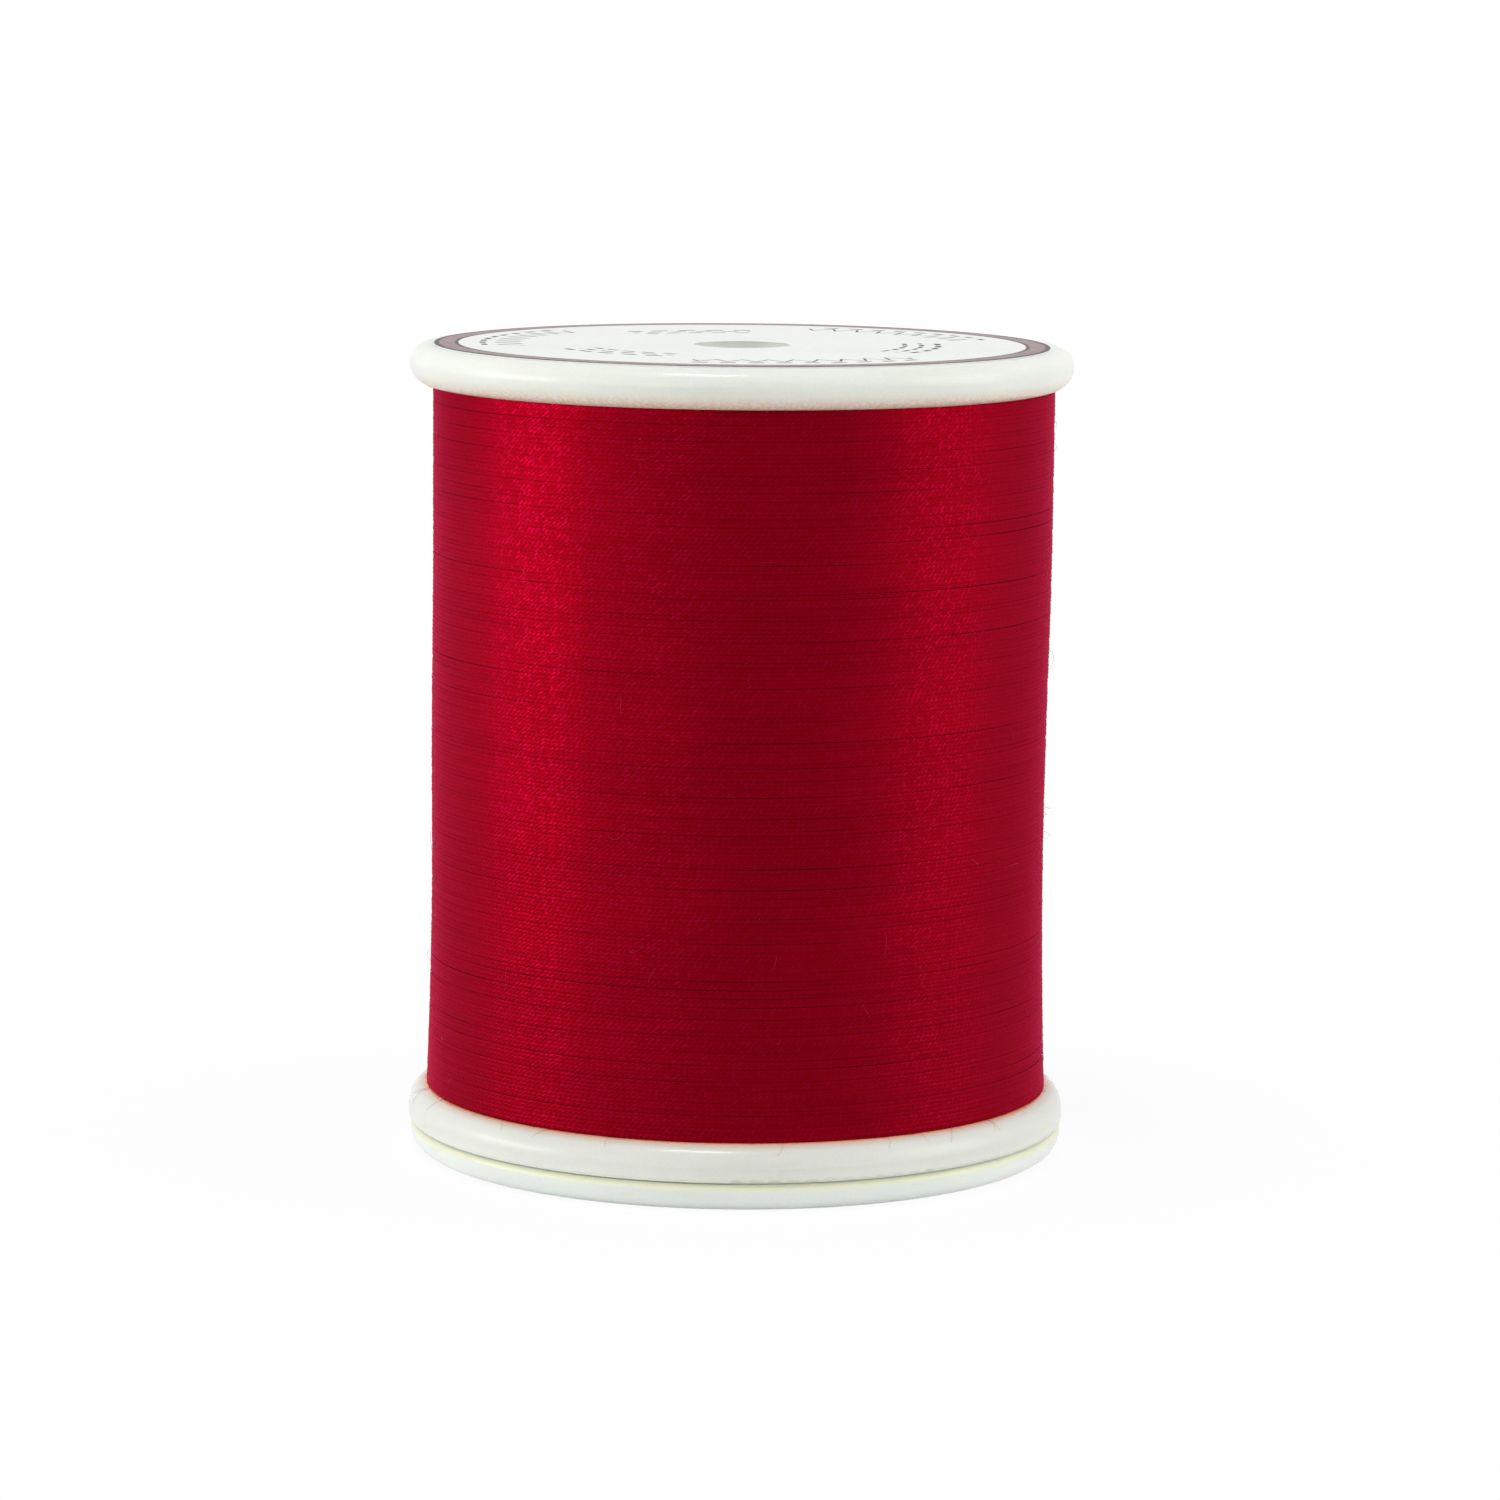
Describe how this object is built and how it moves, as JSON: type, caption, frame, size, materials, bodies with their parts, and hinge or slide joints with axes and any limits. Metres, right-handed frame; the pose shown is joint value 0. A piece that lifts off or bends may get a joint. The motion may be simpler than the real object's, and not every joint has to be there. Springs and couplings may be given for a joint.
{
  "type": "spool of thread",
  "caption": "White moulded snap spool with two rounded flanges, full of fine red sewing thread, with a paper label on top and a base that pops open to hold the thread's end.",
  "frame": {"origin": "centre of the base's underside, on the surface that the spool stands on", "axes": "+Z along the spool's axis from the snap base to the label; -Y faces the viewer"},
  "size_m": [0.044, 0.044, 0.054],
  "materials": {
    "spool_plastic": "gloss",
    "base_plastic": "gloss",
    "label_paper": "matte",
    "inner_thread": "matte",
    "outer_thread": "satin"
  },
  "bodies": {
    "spool": {"spool_body": "spool_plastic", "top_label": "label_paper", "thread_inner_layers": "inner_thread", "thread_outer_layer": "outer_thread"},
    "base": {"snap_base": "base_plastic"}
  },
  "joints": [
    {"name": "base_pull", "type": "slide", "parent": "spool", "child": "base", "axis": [0, 0, -1], "range_m": [0, 0.0025]}
  ]
}
